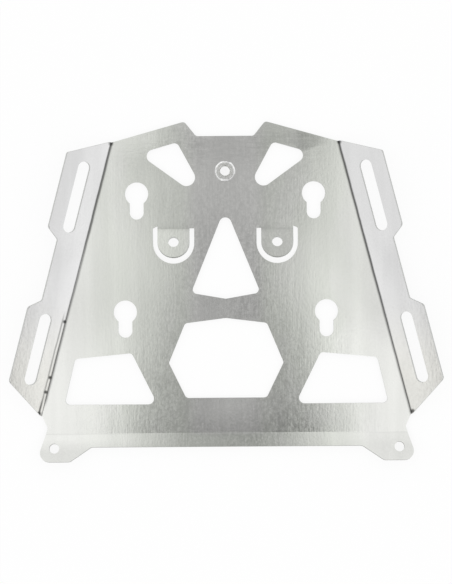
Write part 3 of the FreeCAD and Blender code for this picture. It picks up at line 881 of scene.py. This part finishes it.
@dataclass
class PressedNut:
    """The front nut: a turned collar and shank with a cut thread and edges bruised by the press."""

    node: str = "front_nut"
    pitch: float = 1.5 * MM
    thread_depth: float = 0.72 * MM
    flank: float = 1.3
    crest: float = 0.15
    at_bore: float = 0.02 * MM
    mouth: float = 0.9 * MM
    edge: float = 1.6 * MM
    rim: float = 2.1 * MM
    clearance: float = 0.05 * MM
    sheet: float = 3.0 * MM
    bruise: float = 0.16 * MM
    bruise_reach: float = 0.9 * MM
    waves: tuple[Triple, ...] = ((0.5, 3.0, 0.7), (0.35, 7.0, 2.1), (0.3, 11.0, 4.0), (0.25, 19.0, 1.3))
    lean: float = 0.5 * MM
    wide_side: float = math.radians(-84.0)
    notch_depth: float = 0.5 * MM
    notch_side: float = math.radians(92.0)
    notch_spread: float = math.radians(10.0)
    flat_depth: float = 0.14 * MM
    flat_count: int = 6
    flat_turn: float = 0.9
    around: int = 192
    rows_per_pitch: int = 14
    sharp_angle: float = math.radians(28.0)
    finish: TurnedNutFinish = TurnedNutFinish()

    def bore(self) -> float:
        """Radius of the bore, from the record's mount."""
        return next(m["dims"]["r_mm"] for m in frame["record"]["mounts"] if m["name"] == "front_thread") * MM

    def profile(self) -> Array:
        """Closed section of the nut, bore first.

        Returns:
            A row with the radii of its points and a row with their heights.
        """
        low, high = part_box(self.node)
        bore = self.bore()
        barrel = high.x
        shank = barrel - self.rim - self.clearance
        corners = [
            (bore, low.z + self.mouth), (bore, high.z - self.mouth), (bore + self.mouth, high.z),
            (barrel - self.edge, high.z), (barrel, high.z - self.edge), (barrel, self.sheet),
            (shank, self.sheet), (shank, low.z), (bore + self.mouth, low.z)]
        turns = (high.z - low.z - 2 * self.mouth) / self.pitch
        steps = [int(turns * self.rows_per_pitch), 5, 8, 5, 8, 4, 4, 5, 5]
        path = corners + corners[:1]
        pieces = [np.linspace(a, b, n, endpoint=False) for a, b, n in zip(path, path[1:], steps)]
        return np.concatenate(pieces).T

    def threaded(self, r: Array, z: Array, angle: Array) -> Array:
        """Radius with the thread: r + d * w.

        The depth d is the thread's inside the bore and fades to nothing at both mouths, and w is
        flank * triangle wave of (height / pitch - angle / full turn) - crest, kept within 0 and 1.

        Args:
            r, z, angle: radii, heights and angles of the points.

        Returns:
            The new radii.
        """
        low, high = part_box(self.node)
        phase = np.mod(z / self.pitch - angle / (2.0 * np.pi), 1.0)
        wave = np.clip(self.flank * (1.0 - np.abs(2.0 * phase - 1.0)) - self.crest, 0.0, 1.0)
        inside = np.clip(1.0 - (r - self.bore()) / self.at_bore, 0.0, 1.0)
        mouth_gap = np.minimum(z - low.z - self.mouth, high.z - self.mouth - z)
        fade = np.clip(mouth_gap / (0.5 * self.pitch), 0.0, 1.0)
        return r + self.thread_depth * wave * inside * fade

    def bruised(self, r: Array, z: Array, angle: Array) -> Array:
        """How far the collar's upper corner goes in and down.

        That is bruise * exp(-(distance from the corner / reach) ^ 2) * (0.6 - 0.5 * waves), where the
        waves are a sum of size * sin(count * angle + phase).

        Args:
            r, z, angle: radii, heights and angles of the points.

        Returns:
            The distance of each point.
        """
        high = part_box(self.node)[1]
        waves = sum(size * np.sin(count * angle + phase) for size, count, phase in self.waves)
        inward, down = r - (high.x - 0.5 * self.edge), z - (high.z - 0.5 * self.edge)
        return self.bruise * np.exp(-(inward ** 2 + down ** 2) / self.bruise_reach ** 2) * (0.6 - 0.5 * waves)

    def moved_in(self, r: Array, z: Array, angle: Array) -> Array:
        """How far the whole collar goes in.

        That is lean * (1 - cos(angle - wide side)) / 2, a notch and some shallow flats, which fade to
        nothing at the bore's mouth and inside the sheet.

        Args:
            r, z, angle: radii, heights and angles of the points.

        Returns:
            The distance of each point.
        """
        from_notch = np.mod(angle - self.notch_side + np.pi, 2.0 * np.pi) - np.pi
        depth = (0.5 * self.lean * (1.0 - np.cos(angle - self.wide_side))
                 + self.notch_depth * np.exp(-(from_notch / self.notch_spread) ** 2)
                 + 0.5 * self.flat_depth * (1.0 - np.cos(self.flat_count * angle + self.flat_turn)))
        mouth_edge, face_edge = self.bore() + self.mouth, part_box(self.node)[1].x - self.edge
        on_face = np.clip((r - mouth_edge) / (face_edge - mouth_edge), 0.0, 1.0)
        above_sheet = np.clip((z - self.sheet) / self.mouth + 1.0, 0.0, 1.0)
        return depth * on_face * above_sheet

    def build(self) -> bpy.types.Object:
        """Turn the section about the axis, cut the thread and bruise the collar.

        Returns:
            The piece.
        """
        r, z = (np.repeat(line[:, None], self.around, axis=1) for line in self.profile())
        angle = np.linspace(0.0, 2.0 * np.pi, self.around, endpoint=False)[None, :]
        r = self.threaded(r, z, angle)
        bruise = self.bruised(r, z, angle)
        r, z = r - bruise, z - bruise
        r = r - self.moved_in(r, z, angle)
        grid = np.stack([r * np.cos(angle), r * np.sin(angle), z], axis=-1)
        made = grid_object("turned_nut", grid, True, True)
        made.data.set_sharp_from_angle(angle=self.sharp_angle)
        made.data.materials.append(self.finish.material())
        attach(made, "root")
        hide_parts(self.node)
        return made


@dataclass(frozen=True)
class LightSpot:
    """Soft light spot on the overhead card: where it shows on the sheet, its reach and its strength."""

    place: Pair
    reach: Pair
    strength: float

    def gain(self, x: Array, y: Array) -> Array:
        """Strength * exp(-(distance across / its reach) ^ 2 - (distance along / its reach) ^ 2)."""
        across, along = (x - self.place[0]) / self.reach[0], (y - self.place[1]) / self.reach[1]
        return self.strength * np.exp(-across ** 2 - along ** 2)


@dataclass(frozen=True)
class DarkFan:
    """Dark fan that the sheet mirrors from overhead, stated by the place on the sheet where it shows.

    It has its waist beside the bolt tongues and widens to the front and the rear. A darker band lies
    across the front, deeper at its ends. The card brightens again ahead of the sheet, where only the
    tilted tongues see it. Reaches and spreads are stated for the front and the rear, and the front's
    powers for the left and the right.
    """

    middle_x: float = 1.5 * MM
    waist_y: float = -68.0 * MM
    waist: float = 61.0 * MM
    reaches: Pair = mm(41, 85)
    spreads: Pair = mm(29, 36)
    waist_power: float = 2.6
    rear_power: float = 6.8
    front_powers: Pair = (2.0, 8.5)
    side_front: float = 0.93
    side_middle: float = 0.875
    side_rear: float = 1.03
    front_side: Pair = mm(-60, 20)
    rear_side: Pair = mm(105, 185)
    core_waist: float = 0.40
    core_rise: float = 1.4
    core_rise_reach: float = 72.0 * MM
    core_fall: float = 0.35
    core_fall_reach: float = 200.0 * MM
    rear_shade: float = 0.035
    rear_shade_starts: Pair = mm(198, 226)
    band_y: float = 19.0 * MM
    band_slope: float = 0.10
    band_width: float = 8.5 * MM
    band_depth: float = 0.045
    band_end_depth: float = 0.07
    band_deepest: float = 75.0 * MM
    band_ends: Pair = mm(77, 95)
    spots: tuple[LightSpot, ...] = tuple(
        LightSpot(mm(x, y), mm(across, along), strength) for x, y, across, along, strength in (
            (99, -138, 15, 36, 0.12), (98, -154, 12, 14, 0.24), (77, -98, 12, 26, 0.09),
            (108, -82, 11, 18, -0.09), (84, -98, 20, 24, 0.075), (90, -46, 13, 15, -0.045),
            (57, -36, 12, 9, -0.06), (20, -94, 12, 46, -0.085), (22, 19, 9, 9, -0.12),
            (-33, -106, 10, 22, -0.065), (-15, -122, 10, 13, 0.17), (18, -127, 11, 9, -0.05),
            (73, -153, 10, 14, -0.06), (56, -177, 8, 16, -0.05), (-50, -8, 9, 9, 0.06),
            (55, -206, 17, 28, -0.06), (-65, -203, 12, 18, -0.065), (-50, -86, 12, 20, 0.08),
            (-30, -64, 8, 18, -0.095), (-120, -58, 9, 24, 0.15), (-136, -170, 9, 18, -0.08),
            (-106, 0, 11, 26, 0.07), (-93, -207, 16, 14, 0.12), (-90, -150, 16, 15, 0.08),
            (4, -199, 10, 9.5, 0.40), (-18, -206, 30, 11, 0.05), (62, -222, 22, 9, -0.16),
            (-35, 28, 16, 15, -0.205), (-67, 28, 12.5, 11, 0.32), (-80, 8.5, 12, 6, -0.12),
            (-31, 10, 10, 8, -0.08), (91, -12, 11, 11, 0.05), (58, 26, 12, 10, -0.06)))
    ahead_level: float = 0.44
    ahead_slope: float = -2.2
    ahead_rise: float = 4.4
    ahead_range: Pair = (0.3, 1.0)
    ahead_starts: Pair = mm(60, 100)

    def level(self, x: Array, y: Array) -> Array:
        """Brightness: side - (side - core) * exp(-(distance from the middle / half width) ^ power).

        The half width is waist + spread * (1 - exp(-(distance from the waist / reach) ^ 2)), and the
        power goes from the waist's to the front's or rear's in the same way.

        Args:
            x: place on the sheet to the right.
            y: place on the sheet to the front.

        Returns:
            The brightness, from about 0.3 in the fan's core to about 1 outside it.
        """
        away = y - self.waist_y
        in_front = away > 0.0
        reach = np.where(in_front, *self.reaches)
        spread = np.where(in_front, *self.spreads)
        grown = 1.0 - np.exp(-(away / reach) ** 2)
        front_power = np.where(x < self.middle_x, *self.front_powers)
        firm = np.where(in_front, front_power, self.rear_power)
        power = self.waist_power + (firm - self.waist_power) * grown * grown
        bell = np.exp(-(np.abs(x - self.middle_x) / (self.waist + spread * grown)) ** power)
        side = (self.side_middle + (self.side_front - self.side_middle) * self.step(y, *self.front_side)
                + (self.side_rear - self.side_middle) * self.step(-y, *self.rear_side))
        core = (self.core_waist + self.core_rise * np.clip(away, 0.0, self.core_rise_reach)
                - self.core_fall * np.clip(-away, 0.0, self.core_fall_reach)
                - self.rear_shade * self.step(-y, *self.rear_shade_starts))
        lit = side - (side - core) * bell
        end_share = np.clip(np.abs(x) / self.band_deepest, 0.0, 1.0) ** 2
        depth = self.band_depth + self.band_end_depth * end_share
        depth = depth * (1.0 - self.step(np.abs(x), *self.band_ends))
        lit = lit - depth * np.exp(-((y - self.band_y - self.band_slope * x) / self.band_width) ** 2)
        lit = lit + sum(spot.gain(x, y) for spot in self.spots)
        ahead = self.ahead_level + self.ahead_slope * x + self.ahead_rise * np.abs(x)
        return lit + (np.clip(ahead, *self.ahead_range) - lit) * self.step(y, *self.ahead_starts)

    def step(self, value: Array, low: float, high: float) -> Array:
        """Smooth step t * t * (3 - 2 t), from 0 at low to 1 at high."""
        t = np.clip((value - low) / (high - low), 0.0, 1.0)
        return t * t * (3.0 - 2.0 * t)


@dataclass
class Studio:
    """Floor, dome, cards that the metal mirrors, and camera."""

    floor_size: float = 9.0
    camera_height: float = 1.6
    seen_height: float = 502.2 * MM
    look_at: Pair = mm(0.2, -103.7)
    roll: float = math.radians(-0.41)
    sensor: float = 36.0
    dome: float = 1.0
    card_height: float = 0.36
    card_half: float = 0.42
    card_points: int = 121
    ring_radius: float = 1.5
    ring_height: float = 1.3
    ring_points: tuple[int, int] = (96, 27)
    ring_levels: Triple = (0.97, 0.44, 0.95)
    ring_darkens: Pair = (0.14, 0.30)
    ring_brightens: Pair = (0.4, 1.0)
    ring_swing: float = 0.22
    fan: DarkFan = DarkFan()

    def floor(self) -> None:
        """Flat white floor in the plane that the sheet lies on."""
        line = np.linspace(-0.5, 0.5, 3) * self.floor_size
        x, y = np.meshgrid(line, line, indexing="ij")
        made = grid_object("floor", np.stack([x, y, np.zeros_like(x)], axis=-1))
        made.data.materials.append(FloorFinish().material())

    def card(self) -> None:
        """Overhead card, seen only in the metal, with the fan's brightness on its grid.

        A place p on the sheet mirrors the card's place look_at + (p - look_at) * (1 + card height /
        camera height), because the camera looks straight down from above look_at.
        """
        line = np.linspace(-self.card_half, self.card_half, self.card_points)
        x, y = np.meshgrid(line + self.look_at[0], line + self.look_at[1], indexing="ij")
        grid = np.stack([x, y, np.full_like(x, self.card_height)], axis=-1)
        made = grid_object("overhead_card", grid)
        spread = 1.0 + self.card_height / self.camera_height
        seen_x = self.look_at[0] + (x - self.look_at[0]) / spread
        seen_y = self.look_at[1] + (y - self.look_at[1]) / spread
        self.glow_in_metal(made, self.fan.level(seen_x, seen_y))

    def ring(self) -> None:
        """Wall of grey cards round the part, seen only in the metal when it is looked at from the side.

        Its level goes from the floor's white to dark by a third of its height, and back to bright at
        its top, times 1 + swing * sin(2 * angle + 1), so that a flat sheet shows a soft gradient.
        """
        around, up = self.ring_points
        angle, height = np.meshgrid(np.linspace(0.0, 2.0 * np.pi, around, endpoint=False),
                                    np.linspace(0.0, self.ring_height, up), indexing="ij")
        x, y = self.ring_radius * np.cos(angle), self.ring_radius * np.sin(angle)
        made = grid_object("side_cards", np.stack([x, y, height], axis=-1), True, turned=True)
        share = height / self.ring_height
        foot, dark, top = self.ring_levels
        darkening = self.fan.step(share, *self.ring_darkens)
        brightening = self.fan.step(share, *self.ring_brightens)
        level = foot + (dark - foot) * darkening + (top - dark) * brightening
        swing = self.ring_swing * darkening
        self.glow_in_metal(made, level * (1.0 + swing * np.sin(2.0 * angle + 1.0)))

    def glow_in_metal(self, made: bpy.types.Object, level: Array) -> None:
        """Make a stage piece glow at its points' levels, for reflected rays alone.

        Args:
            made: the stage piece.
            level: brightness of each of its points, in the points' order.
        """
        glow = made.data.attributes.new("glow", "FLOAT", "POINT")
        glow.data.foreach_set("value", level.astype(np.float32).ravel())
        board = NodeBoard(made.name)
        source = board.add("ShaderNodeAttribute", attribute_name="glow")
        light = board.add("ShaderNodeEmission", {"Strength": source.outputs["Fac"]})
        board.material.cycles.emission_sampling = "NONE"
        made.data.materials.append(board.surfaced(light.outputs["Emission"]))
        made.visible_camera = False
        made.visible_diffuse = False

    def world(self) -> None:
        """Plain white dome."""
        world = bpy.data.worlds.new("dome")
        world.use_nodes = True
        background = world.node_tree.nodes["Background"]
        background.inputs["Color"].default_value = WHITE
        background.inputs["Strength"].default_value = self.dome
        bpy.context.scene.world = world

    def camera(self) -> None:
        """Camera straight above the sheet, framed as the photograph is."""
        data = bpy.data.cameras.new("camera")
        data.sensor_width = self.sensor
        data.lens = self.sensor * self.camera_height / self.seen_height
        data.clip_start, data.clip_end = 0.05, 50.0
        made = bpy.data.objects.new("camera", data)
        made.location = (*self.look_at, self.camera_height)
        made.rotation_euler = (0.0, 0.0, self.roll)
        bpy.context.scene.collection.objects.link(made)
        bpy.context.scene.camera = made

    def build(self) -> None:
        """Set up the whole studio."""
        self.floor()
        self.card()
        self.ring()
        self.world()
        self.camera()
        bpy.context.scene.view_settings.view_transform = "Standard"


def corners(box: tuple) -> list[list[float]]:
    """A pair of corners as plain lists."""
    return [[float(v) for v in corner] for corner in box]


def main() -> None:
    """Build every piece in order."""
    logging.basicConfig(level=logging.INFO, format="%(name)s: %(message)s")
    for maker in (FoldedSheet(), PressedNut()):
        piece = maker.build()
        LOG.info("%s: %d faces for node %s", piece.name, len(piece.data.polygons), maker.node)
    Studio().build()


if __name__ == "__main__":
    main()
